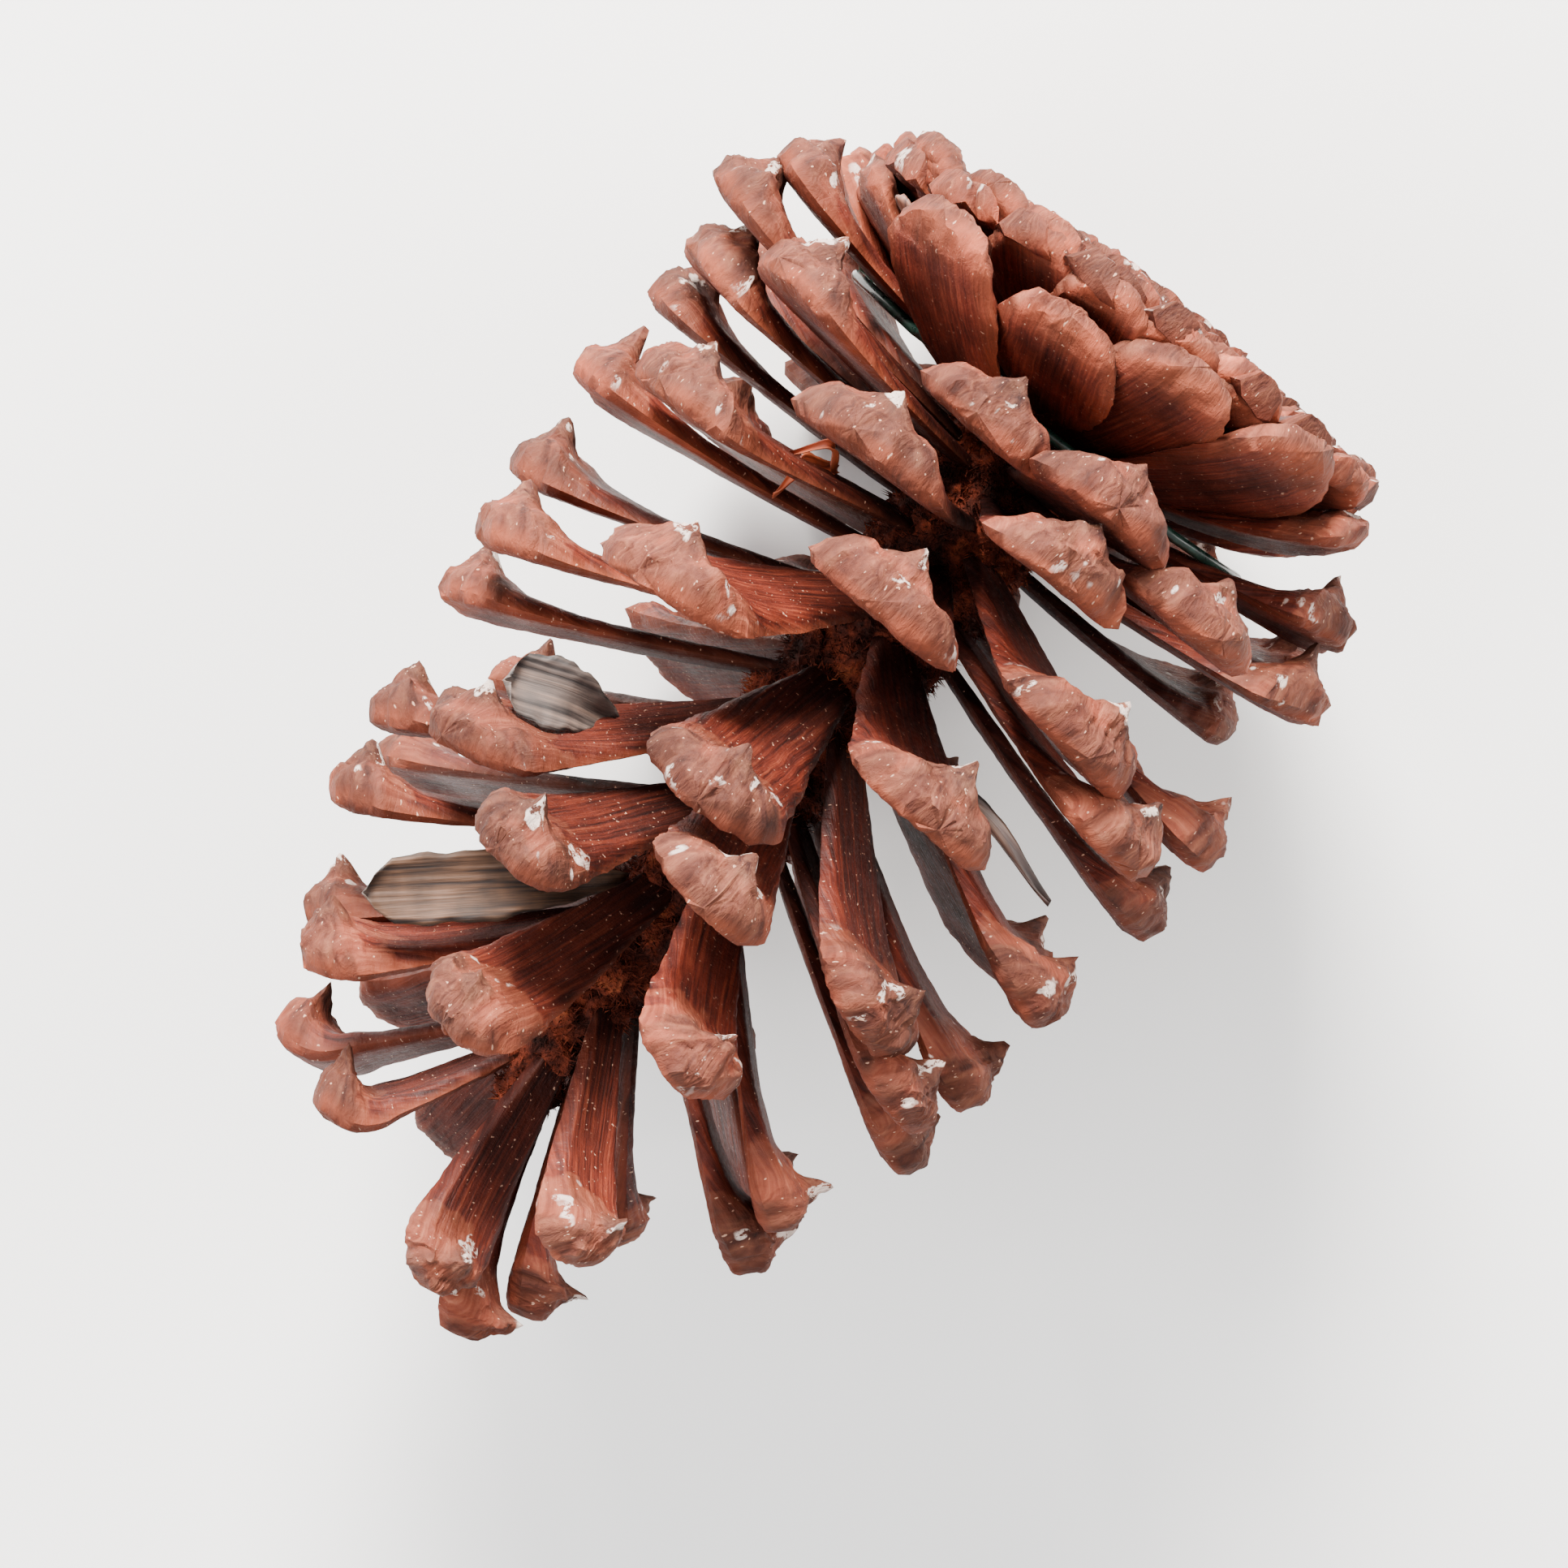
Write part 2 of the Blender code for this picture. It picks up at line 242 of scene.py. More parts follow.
    # Dried resin on the swollen end, in patches 3.5 mm apart that break into crumbs 0.8 mm across.
    elsewhere = add(tree, VECTOR, flat, (31, 7, 3), operation="ADD")
    patch = add(tree, NOISE, elsewhere, None, 0.28, 2.0, 0.5)
    crumb = add(tree, NOISE, flat, None, 1.2, 4.0, 0.7)
    patch = add(tree, MATH, umbo, 0.14, patch, operation="MULTIPLY_ADD")
    resin = add(tree, MATH, add(tree, MAP, patch, 0.655, 0.68, 0, 1),
                add(tree, MAP, crumb, 0.44, 0.50, 0, 1), operation="MULTIPLY")
    resin = add(tree, MATH, resin, add(tree, MAP, along, 0.72, 0.80, 0, 1), operation="MULTIPLY")
    resin = add(tree, MATH, resin, face, operation="MULTIPLY")
    color = add(tree, MIX, add(tree, MATH, resin, 0.7, operation="MULTIPLY"), color, linear("#cdb9ae"))
    # Specks of dust and resin, 0.4 mm across.
    speck = add(tree, MAP, add(tree, NOISE, flat, None, 2.6, 1.0, 0.5), 0.72, 0.76, 0, 0.6)
    color = add(tree, MIX, speck, color, linear("#c99a80"))

    color = add(tree, "ShaderNodeHueSaturation", 0.5, 0.97, 1.0, 1.0, color)
    tree.links.new(color, shader.inputs["Base Color"])
    rough = add(tree, MATH, add(tree, MAP, grain, 0.3, 0.7, 0.46, 0.66),
                add(tree, MAP, along, 0.76, 0.86, 0, 0.2), operation="ADD")
    tree.links.new(rough, shader.inputs["Roughness"])
    shader.inputs["Specular IOR Level"].default_value = 0.2
    shader.inputs["IOR"].default_value = 1.5
    ridges = add(tree, MATH, add(tree, MATH, fibre, 0.6, operation="MULTIPLY"),
                 add(tree, MATH, wrinkle, add(tree, MAP, along, 0.78, 0.86, 0.2, 0.9), operation="MULTIPLY"),
                 operation="ADD")
    height = add(tree, MATH, ridges, add(tree, MATH, grain, 0.35, operation="MULTIPLY"), operation="ADD")
    tree.links.new(add(tree, BUMP, named=(("Strength", 0.8), ("Distance", 0.0004), ("Height", height))),
                   shader.inputs["Normal"])
    return material


def core_wood():
    """The fuzzy pith of the axis: dark brown felt, rusty where scale feet have rubbed it."""
    material, tree, shader = new_material("fuzzy_cone_core")
    place = add(tree, "ShaderNodeTexCoord", out=3)
    # Clumps of felt 4 mm across, and single strands 0.6 mm apart.
    clump = add(tree, NOISE, place, None, 240.0, 3.0, 0.6)
    strand = add(tree, NOISE, place, None, 1500.0, 3.0, 0.6)
    color = add(tree, RAMP, clump,
                stops=((0.32, "#220c06"), (0.46, "#44180c"), (0.58, "#6a2a17"), (0.72, "#8a4629")))
    dark = add(tree, MAP, strand, 0.3, 0.7, 0.5, 1.25)
    tree.links.new(add(tree, MIX, 1.0, color, dark, blend_type="MULTIPLY"), shader.inputs["Base Color"])
    shader.inputs["Roughness"].default_value = 0.95
    shader.inputs["Specular IOR Level"].default_value = 0.2
    tree.links.new(add(tree, BUMP, named=(("Strength", 1.0), ("Distance", 0.0006), ("Height", strand))),
                   shader.inputs["Normal"])
    return material


def wing_skin(name, low, light):
    """Papery seed wing: thin, dull, and finely striped along its veins, 0.7 mm apart."""
    material, tree, shader = new_material(name)
    flat = add(tree, ATTRIBUTE, out=1, attribute_name="flat")
    stretched = add(tree, VECTOR, flat, (1.4, 0.05, 1), operation="MULTIPLY")
    veins = add(tree, NOISE, stretched, None, 1.0, 4.0, 0.6)
    blotch = add(tree, NOISE, flat, None, 0.22, 3.0, 0.55)
    color = add(tree, RAMP, veins, stops=((0.38, low), (0.54, light), (0.76, "#6c564a")))
    dark = add(tree, MAP, blotch, 0.3, 0.7, 0.4, 1.2)
    tree.links.new(add(tree, MIX, 1.0, color, dark, blend_type="MULTIPLY"), shader.inputs["Base Color"])
    shader.inputs["Roughness"].default_value = 0.6
    tree.links.new(add(tree, BUMP, named=(("Strength", 0.6), ("Distance", 0.0003), ("Height", veins))),
                   shader.inputs["Normal"])
    return material


def wire_coat():
    """Green enamel on thin steel wire: dark, smooth and glossy, with faint scuffs."""
    material, tree, shader = new_material("green_enamelled_wire")
    scuff = add(tree, NOISE, add(tree, "ShaderNodeTexCoord", out=3), None, 900.0, 3.0, 0.6)
    tree.links.new(add(tree, RAMP, scuff, stops=((0.4, "#011a13"), (0.6, "#03281e"), (0.75, "#0f4034"))),
                   shader.inputs["Base Color"])
    tree.links.new(add(tree, MAP, scuff, 0.3, 0.7, 0.22, 0.45), shader.inputs["Roughness"])
    shader.inputs["Coat Weight"].default_value = 0.4
    return material


# ---------------------------------------------------------------- one scale

# The width of an open scale and of a rounded one from foot to lip, as shares of the full one.
OUTLINE = ((0, 0.0), (0.012, 0.24), (0.1, 0.36), (0.22, 0.46), (0.60, 0.80), (0.76, 0.95), (0.83, 1.0),
           (0.87, 0.98), (0.91, 0.86), (0.95, 0.66), (0.98, 0.46), (0.993, 0.32), (0.999, 0.16), (1, 0.0))
PETAL = ((0, 0.0), (0.012, 0.24), (0.1, 0.38), (0.22, 0.52), (0.45, 0.78), (0.65, 0.95), (0.78, 1.0),
         (0.87, 0.94), (0.93, 0.80), (0.97, 0.58), (0.99, 0.36), (0.998, 0.16), (1, 0.0))
# How high the outer face stands, how deep the inner one hangs, and how thick the rim is.
RIDGE = ((0, 0.5), (0.22, 0.8), (0.60, 0.95), (0.74, 1.2), (0.82, 1.8), (0.885, 2.6), (0.91, 2.55),
         (0.96, 1.7), (1, 0.6))
DEPTH = ((0, 0.2), (0.22, 0.35), (0.78, 0.4), (0.93, 0.4), (1, 0.1))
EDGE = ((0, 0.3), (0.03, 0.8), (0.6, 1.0), (0.8, 1.9), (0.93, 2.7), (0.985, 2.3), (1, 1.2))
# The length of a full-sized scale, which the bumps round its umbo are sized for.
FULL_LENGTH = 40


def skin_rings(bm, rings):
    """Joins every ring of corners to the next with a band of faces."""
    count = len(rings[0])
    for low, high in zip(rings, rings[1:]):
        for i in range(count):
            k = (i + 1) % count
            bm.faces.new((low[i], low[k], high[k], high[i]))


def mesh_of(bm, name):
    """Turns the faces outward and hands the shape over as a mesh."""
    bmesh.ops.recalc_face_normals(bm, faces=bm.faces)
    mesh = bpy.data.meshes.new(name)
    bm.to_mesh(mesh)
    bm.free()
    return mesh


def blank(name, columns, rows, seed, spike=1.0, relief=1.0, outline=OUTLINE):
    """A closed scale in plain units: X in half-widths, Y from 0 to 1 along it, Z in millimetres
    at full width. Its outer face is +Z. It carries what the node tree and the wood need."""
    rng = random.Random(seed)
    umbo_x = rng.uniform(-0.1, 0.1)
    umbo_y = rng.uniform(0.878, 0.9)
    prickle = rng.uniform(1.5, 2.8) * spike
    sag = rng.uniform(-0.25, 0.25)
    knobs = []
    for _ in range(16):
        at = (rng.uniform(-0.85, 0.85), rng.uniform(0.80, 0.97))
        knobs.append((*at, rng.uniform(0.7, 1.5), rng.uniform(-0.5, 0.9)))
    bm = bmesh.new()
    zone = bm.verts.layers.float_vector.new("zone")
    extra = bm.verts.layers.float_vector.new("extra")
    inner_columns = columns * 2 // 3
    loop = [(1 - 2 * i / columns, 1) for i in range(columns)]
    loop += [(-1 + 2 * i / inner_columns, 0) for i in range(inner_columns)]
    rings = []
    for j in range(rows + 1):
        v = j / rows
        v = v * (1.45 - 0.45 * v)
        ring = []
        for t, face in loop:
            s = t * (0.62 + 0.38 * abs(t))
            width = ramp(v, outline)
            x_mm = s * width * FULL_WIDTH / 2
            end = smooth(0.72, 0.86, v)
            rounded = math.sqrt(max(0.0, 1 - abs(s) ** 8))
            edge = ramp(v, EDGE) / 2 * rounded
            umbo = 0.0
            if face:
                panel = 1 - max(0.0, (abs(s) - 0.7) / 0.3) ** 2 - 0.35 * (1 - s * s) * (1 - end)
                roof = 1 - abs(s + sag * (1 - s * s)) ** 4.5
                z = edge + relief * ramp(v, RIDGE) * (panel * (1 - end) + roof * end)
                dx = x_mm - umbo_x * FULL_WIDTH / 2
                dy = (v - umbo_y) * FULL_LENGTH
                away = math.hypot(dx, dy * 1.25)
                umbo = max(0.0, 1 - away / 3.4)
                z += 1.3 * smooth(0.05, 0.7, umbo) * (0.3 + 0.7 * spike)
                z += prickle * max(0.0, 1 - math.hypot(dx, dy + 0.3) / 1.3) ** 1.3
                for kx, ky, size, tall in knobs:
                    off = math.hypot(x_mm - kx * FULL_WIDTH / 2, (v - ky) * FULL_LENGTH)
                    z += 0.8 * relief * tall * math.exp(-(off / size) ** 2) * (1 - abs(s) ** 4)
            else:
                z = -edge - ramp(v, DEPTH) * (1 - s * s)
            closed = smooth(0.0, 0.012, v) * (1 - smooth(0.988, 1.0, v) ** 3)
            vert = bm.verts.new((s * width, v, z * closed))
            vert[zone] = (s, v, face)
            vert[extra] = (umbo, math.atan2(s * 8, (v - umbo_y) * FULL_LENGTH), 0)
            ring.append(vert)
        rings.append(ring)
    skin_rings(bm, rings)
    bmesh.ops.remove_doubles(bm, verts=rings[0] + rings[-1], dist=1e-6)
    return mesh_of(bm, name)


def new_tree(name, numbers, whole=()):
    """An empty node tree with geometry in and out, named inputs and a material."""
    tree = bpy.data.node_groups.new(name, "GeometryNodeTree")
    tree.interface.new_socket("Geometry", in_out="INPUT", socket_type="NodeSocketGeometry")
    tree.interface.new_socket("Geometry", in_out="OUTPUT", socket_type="NodeSocketGeometry")
    wanted = [(title, "NodeSocketFloat") for title in numbers]
    wanted += [(title, "NodeSocketInt") for title in whole]
    wanted.append(("Material", "NodeSocketMaterial"))
    ids = {}
    for title, kind in wanted:
        ids[title] = tree.interface.new_socket(title, in_out="INPUT", socket_type=kind).identifier
    source = tree.nodes.new("NodeGroupInput")
    return tree, ids, {socket.name: socket for socket in source.outputs}


def close_tree(tree, shape, material):
    """Ends a tree with real geometry in one material."""
    shape = add(tree, "GeometryNodeRealizeInstances", shape)
    shape = add(tree, "GeometryNodeSetMaterial", shape, None, material)
    sink = tree.nodes.new("NodeGroupOutput")
    tree.links.new(shape, sink.inputs[0])


def scale_tree():
    """The node tree that grows one scale from a blank: sizes it, cups, curls and twists it,
    hooks its end, frays its outline, and wrinkles its faces."""
    tree, ids, given = new_tree("grow_scale", ("Length", "Width", "Thickness", "Curl", "Hook", "Cup", "Twist",
                                               "Skew", "Slant", "Ragged", "Wrinkle", "Seed", "Warm", "Shade"))
    place = add(tree, "GeometryNodeInputPosition")
    x = add(tree, SPLIT, place, out=0)
    y = add(tree, SPLIT, place, out=1)
    z = add(tree, SPLIT, place, out=2)
    half = add(tree, MATH, given["Width"], 0.5, operation="MULTIPLY")
    seed = add(tree, MATH, given["Seed"], 13.7, operation="MULTIPLY")
    end = add(tree, MAP, y, 0.74, 0.9, 0, 1)

    # The place on the flat scale in millimetres, for patterns that follow it, kept from before it
    # is formed.
    flat = add(tree, JOIN, add(tree, MATH, x, half, operation="MULTIPLY"),
               add(tree, MATH, y, given["Length"], operation="MULTIPLY"),
               add(tree, MATH, seed, add(tree, MATH, z, 0.4, operation="MULTIPLY"), operation="ADD"))
    marked = add(tree, "GeometryNodeStoreNamedAttribute", given["Geometry"], None, "flat", flat,
                 data_type="FLOAT_VECTOR", domain="POINT")

    # The outline frays a little all along, and more at the lip.
    fray_at = add(tree, JOIN, add(tree, MATH, x, 3.2, operation="MULTIPLY"),
                  add(tree, MATH, y, 9.0, operation="MULTIPLY"), seed)
    fray = add(tree, MATH, add(tree, NOISE, fray_at, None, 1.0, 3.0, 0.6), -0.5, operation="ADD")
    fray_x = add(tree, MATH, fray, given["Ragged"], operation="MULTIPLY")
    wide = add(tree, MATH, x, add(tree, MATH, half, fray_x, operation="ADD"), operation="MULTIPLY")
    sway = add(tree, MATH, add(tree, MATH, y, 2.0, operation="POWER"), given["Skew"], operation="MULTIPLY")
    flat_x = add(tree, MATH, wide, sway, operation="ADD")
    fray_y = add(tree, MATH, add(tree, MATH, fray_x, 1.5, operation="MULTIPLY"), end, operation="MULTIPLY")
    slant = add(tree, MATH, x, given["Slant"], operation="MULTIPLY")
    slant = add(tree, MATH, slant, end, operation="MULTIPLY")
    flat_y = add(tree, MATH, add(tree, MATH, y, given["Length"], operation="MULTIPLY"),
                 add(tree, MATH, fray_y, slant, operation="ADD"), operation="ADD")

    # The faces: thickness, the curl of the end to the outer side, and the cup across. Then the
    # scale is twisted along its length, and its end is hooked.
    thick = add(tree, MATH, z, given["Thickness"], operation="MULTIPLY")
    curl = add(tree, MATH, add(tree, MATH, y, 3.0, operation="POWER"), given["Curl"], operation="MULTIPLY")
    cup = add(tree, MATH, add(tree, MATH, x, x, operation="MULTIPLY"), given["Cup"], operation="MULTIPLY")
    flat_z = add(tree, MATH, add(tree, MATH, thick, curl, operation="ADD"), cup, operation="SUBTRACT")
    formed = add(tree, JOIN, flat_x, flat_y, flat_z)
    angle = add(tree, MATH, given["Twist"], y, operation="MULTIPLY")
    formed = add(tree, "ShaderNodeVectorRotate", formed, named=(("Angle", angle),), rotation_type="Y_AXIS")
    pivot = add(tree, JOIN, 0.0, add(tree, MATH, given["Length"], 0.8, operation="MULTIPLY"),
                add(tree, MATH, given["Curl"], 1.6, operation="MULTIPLY"))
    bend = add(tree, MATH, add(tree, MAP, y, 0.7, 0.96, 0, 1), given["Hook"], operation="MULTIPLY")
    formed = add(tree, "ShaderNodeVectorRotate", formed, pivot, named=(("Angle", bend),),
                 rotation_type="X_AXIS")
    sized = add(tree, "GeometryNodeSetPosition", marked, None, formed)

    extra = add(tree, "GeometryNodeInputNamedAttribute", "extra", data_type="FLOAT_VECTOR")
    umbo = add(tree, SPLIT, extra, out=0)
    round_umbo = add(tree, SPLIT, extra, out=1)
    tint = add(tree, JOIN, given["Warm"], given["Shade"], umbo)
    sized = add(tree, "GeometryNodeStoreNamedAttribute", sized, None, "tint", tint,
                data_type="FLOAT_VECTOR", domain="POINT")

    # From here on the scale is formed, so its own flat place and zone are read back.
    flat = add(tree, "GeometryNodeInputNamedAttribute", "flat", data_type="FLOAT_VECTOR")
    own_zone = add(tree, "GeometryNodeInputNamedAttribute", "zone", data_type="FLOAT_VECTOR")
    end = add(tree, MAP, add(tree, SPLIT, own_zone, out=1), 0.76, 0.88, 0, 1)

    # Wrinkles: lumps 3 mm apart, creases across the scale 0.6 mm apart, and rays that run out
    # from the umbo.
    lumps = add(tree, MATH, add(tree, NOISE, flat, None, 0.33, 2.0, 0.5), -0.5, operation="ADD")
    layered = add(tree, VECTOR, flat, (0.4, 1.7, 1.0), operation="MULTIPLY")
    creases = add(tree, MATH, add(tree, NOISE, layered, None, 1.0, 3.0, 0.6), -0.5, operation="ADD")
    rays_at = add(tree, JOIN, add(tree, MATH, round_umbo, 4.5, operation="MULTIPLY"), seed, 0.0)
    rays = add(tree, MATH, add(tree, NOISE, rays_at, None, 1.0, 2.0, 0.5), -0.5, operation="ADD")
    rough = add(tree, MATH, add(tree, MATH, lumps, 1.1, operation="MULTIPLY"),
                add(tree, MATH, creases, 1.1, operation="MULTIPLY"), operation="ADD")
    rough = add(tree, MATH, rough, add(tree, MATH, rays, 0.7, operation="MULTIPLY"), operation="ADD")
    face = add(tree, SPLIT, own_zone, out=2)
    swollen = add(tree, MATH, face, 0.8, 0.2, operation="MULTIPLY_ADD")
    swollen = add(tree, MATH, end, swollen, operation="MULTIPLY")
    amount = add(tree, MATH, add(tree, MATH, swollen, 1.0, 0.22, operation="MULTIPLY_ADD"), given["Wrinkle"],
                 operation="MULTIPLY")
    reach = add(tree, MATH, rough, amount, operation="MULTIPLY")
    push = add(tree, VECTOR, add(tree, "GeometryNodeInputNormal"), named=(("Scale", reach),),
               operation="SCALE")
    wrinkled = add(tree, "GeometryNodeSetPosition", sized, None, None, push)
    # Smooth faces with a crisp edge wherever two of them meet at more than 43 degrees.
    finished = add(tree, "GeometryNodeSetShadeSmooth", wrinkled)
    bent = add(tree, MATH, add(tree, "GeometryNodeInputMeshEdgeAngle"), 0.75, operation="GREATER_THAN")
    finished = add(tree, "GeometryNodeSetShadeSmooth", finished, bent, False, domain="EDGE")
    close_tree(tree, finished, given["Material"])
    return tree, ids


def grown(source, tree, ids, values):
    """The mesh that the tree makes from a mesh, with its named inputs set first."""
    carrier = bpy.data.objects.new("carrier", source)
    bpy.context.collection.objects.link(carrier)
    modifier = carrier.modifiers.new("grow", "NODES")
    modifier.node_group = tree
    for name, value in values.items():
        modifier[ids[name]] = value
    graph = bpy.context.evaluated_depsgraph_get()
    mesh = bpy.data.meshes.new_from_object(carrier.evaluated_get(graph))
    bpy.data.objects.remove(carrier)
    return mesh


def scale_heights():
    """The height of every scale's foot on the axis, from the stalk end up."""
    heights = [FIRST_HEIGHT]
    while len(heights) < SCALE_COUNT:
        heights.append(heights[-1] + ramp(heights[-1], RISE))
    return heights


HEIGHTS = scale_heights()


def stand(foot, out, spread):
    """A scale's place: its length leans out from the axis, its outer face to the stalk end."""
    angle = math.radians(spread)
    along = Vector((0, 0, math.cos(angle))) + out * math.sin(angle)
    outer = Vector((0, 0, -math.sin(angle))) + out * math.cos(angle)
    side = along.cross(outer)
    return Matrix.Translation(foot) @ Matrix((side, along, outer)).transposed().to_4x4()


# Scales near the tip whose ends hook up, in degrees.
HOOKS = {93: 46, 96: 40, 90: 25, 85: 12, 95: 15}
# Scales that are longer or shorter than the rule says.
STRETCH = {12: 1.18, 25: 1.14, 96: 0.8}
# Below this height the scales are rounded, start less reflexed than the rule says, curl back towards the
# stalk end, and get a lighter tone as painted light, apart from two.
ROUND_BELOW = 11.2
ROUND_EXCEPT = (12, 15)
LESS_REFLEXED = 6.5
BACK_CURL = 6.0
# Scales grow stouter towards the tip, as height and factor.
STOUTNESS = ((10, 0.9), (60, 1.05), (90, 1.4))


def scale_mesh(number):
    """One scale of the spiral, grown and set in its place on the axis."""
    rng = random.Random(1000 + number)
    height = HEIGHTS[number]
    length = ramp(height, LENGTH) * STRETCH.get(number, 1)
    width = ramp(height, WIDTH)
    turn, lean = LEANS.get(number, (0, 0))
    out = radial(FIRST_AZIMUTH + number * DIVERGENCE + turn)
    spread = ramp(height, SPREAD) + lean
    size = width / FULL_WIDTH
    values = {
        "Length": length, "Width": width, "Thickness": (0.45 + 0.55 * size) * ramp(height, STOUTNESS),
        "Curl": 2.6 * length / 40, "Hook": math.radians(HOOKS.get(number, 0)),
        "Cup": rng.uniform(0.2, 1.0) * size, "Twist": math.radians(rng.uniform(-7, 7)),
        "Skew": rng.uniform(-2.4, 2.4) * size, "Slant": rng.uniform(-1.8, 1.8) * size,
        "Ragged": 2.0 * size, "Wrinkle": rng.uniform(0.6, 0.9), "Seed": float(number),
        "Warm": rng.random() * (0.6 + 0.8 * smooth(60, 95, height)), "Shade": rng.random(),
        "Material": WOOD,
    }
    if height < ROUND_BELOW and number not in ROUND_EXCEPT:
        spread -= LESS_REFLEXED
        values["Curl"] = BACK_CURL
        source = PETALS[number % len(PETALS)]
        # Painted light: the rounded scales get a lighter tone, as if lit where they sit in shade.
        values["Shade"] = 1.1 + 0.4 * rng.random()
    else:
        source = BLANKS[number % len(BLANKS)]
    mesh = grown(source, SCALE_TREE, SCALE_IDS, values)
    foot = Vector((0, 0, height)) + out * (ramp(height, AXIS_RADIUS) - 0.8)
    mesh.transform(LAID @ stand(foot, out, spread))
    return on_floor(mesh)


def on_floor(mesh):
    """Flattens what would reach below the floor."""
    for vert in mesh.vertices:
        vert.co.z = max(vert.co.z, 0.0)
    return mesh


def piece(name, mesh, slot, *nodes):
    """A finished piece that rides the cone's body and stands for the named nodes."""
    made = bpy.data.objects.new(name, mesh)
    bpy.context.collection.objects.link(made)
    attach(made, "root")
    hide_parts(*nodes)
    return made


def merged(name, meshes):
    """One mesh from several, with the attributes that the materials read."""
    objects = []
    for mesh in meshes:
        holder = bpy.data.objects.new(name, mesh)
        bpy.context.collection.objects.link(holder)
        objects.append(holder)
    with bpy.context.temp_override(active_object=objects[0], selected_editable_objects=objects):
        bpy.ops.object.join()
    mesh = objects[0].data
    mesh.name = name
    bpy.data.objects.remove(objects[0])
    return mesh


# ---------------------------------------------------------------- the stalk end

DOME_SCALES = 230
DOME_RADIUS = 28.6
# The bare middle, where the closed scales meet.
DOME_MIDDLE = 4.5
# The dome sinks to one side and swells to the other, in mm for every mm from its middle.
DOME_SINK = 0.11
DOME_SWELL = 0.03
RIM_SCALES = 30


def crust_meshes():
    """The closed scales of the stalk end, shingled on the dome by the same turn."""
    meshes = []
    for k in range(DOME_SCALES):
        rng = random.Random(5000 + k)
        share = (k + 0.5) / DOME_SCALES
        radius = DOME_RADIUS * math.sqrt(1 - share)
        if radius < DOME_MIDDLE:
            continue
        azimuth = FIRST_AZIMUTH - (k + 1) * DIVERGENCE
        out = radial(azimuth + rng.uniform(-3, 3))
        size = 0.6 + 0.4 * radius / 30
        length = 11 * size
        values = {
            "Length": length, "Width": 7.8 * size, "Thickness": 0.8 * size, "Curl": 0.9, "Hook": 0.0,
            "Cup": 0.9, "Twist": math.radians(rng.uniform(-12, 12)), "Skew": rng.uniform(-0.6, 0.6),
            "Slant": rng.uniform(-0.8, 0.8), "Ragged": 0.9, "Wrinkle": 0.45, "Seed": float(200 + k),
            "Warm": 0.3 + 0.5 * rng.random(), "Shade": rng.random(), "Material": WOOD,
        }
        mesh = grown(CRUSTS[k % len(CRUSTS)], SCALE_TREE, SCALE_IDS, values)
        inward = max(0.0, radius - length * 0.62)
        drop = ramp(radius, DOME) - ramp(inward, DOME)
        slope = math.degrees(math.atan2(drop, max(0.1, radius - inward)))
        foot = out * inward + Vector((0, 0, ramp(inward, DOME) + 0.8))
        foot.z += DOME_SINK * max(0.0, -foot.x) - DOME_SWELL * max(0.0, foot.x)
        mesh.transform(LAID @ stand(foot, out, 90 - slope + rng.uniform(3, 9)))
        meshes.append(on_floor(mesh))
    return meshes


def rim_meshes():
    """Rounded scales that fill the gap between the crust and the basal scales."""
    meshes = []
    for k in range(RIM_SCALES):
        rng = random.Random(7000 + k)
        out = radial(FIRST_AZIMUTH - 30 + k * DIVERGENCE)
        values = {
            "Length": rng.uniform(27, 29), "Width": rng.uniform(11, 13.5), "Thickness": 0.8, "Curl": 4.5,
            "Hook": 0.0, "Cup": 0.8, "Twist": math.radians(rng.uniform(-10, 10)), "Skew": rng.uniform(-1, 1),
            "Slant": rng.uniform(-1, 1), "Ragged": 1.4, "Wrinkle": 0.6, "Seed": float(500 + k), "Warm": 0.4,
            "Shade": 0.5 + rng.random(), "Material": WOOD,
        }
        mesh = grown(PETALS[k % len(PETALS)], SCALE_TREE, SCALE_IDS, values)
        swell = DOME_SWELL * max(0.0, out.x * 30)
        foot = out * 4 + Vector((0, 0, 1.8 - 2.4 * k / RIM_SCALES - swell))
        mesh.transform(LAID @ stand(foot, out, rng.uniform(97, 100)))
        meshes.append(on_floor(mesh))
    return meshes


def turned_mesh(name, outline, sides, lump, seed, material):
    """Turns (radius, height) points round the axis, roughened by lumps of that many mm."""
    bm = bmesh.new()
    rings = []
    for radius, height in outline:
        ring = []
        for i in range(sides):
            angle = 2 * math.pi * i / sides
            way = Vector((math.cos(angle), math.sin(angle), 0))
            at = way * radius + Vector((0, 0, height))
            push = lump * noise.noise(at * 0.4 + Vector((seed, 0, 0))) + 0.4 * lump * noise.noise(at * 1.1)
            ring.append(bm.verts.new(at + way * push * min(1.0, radius / 2)))
        rings.append(ring)
    skin_rings(bm, rings)
    bm.faces.new(rings[0][::-1])
    bm.faces.new(rings[-1])
    mesh = mesh_of(bm, name)
    mesh.shade_smooth()
    mesh.materials.append(material)
    return mesh


def dome_body_mesh():
    """The lump of wood and resin under the crust, 5 mm short of the dome's rim."""
    outline = [(max(radius - 5.0, 0.4), height + 0.6) for radius, height in DOME]
    outline += [(24, -4.2), (14, -1.2), (8, 0.8), (5, 4)]
    mesh = turned_mesh("dome_body", outline, 64, 0.6, 1.0, CORE)
    mesh.transform(LAID)
    return mesh


# ---------------------------------------------------------------- the core

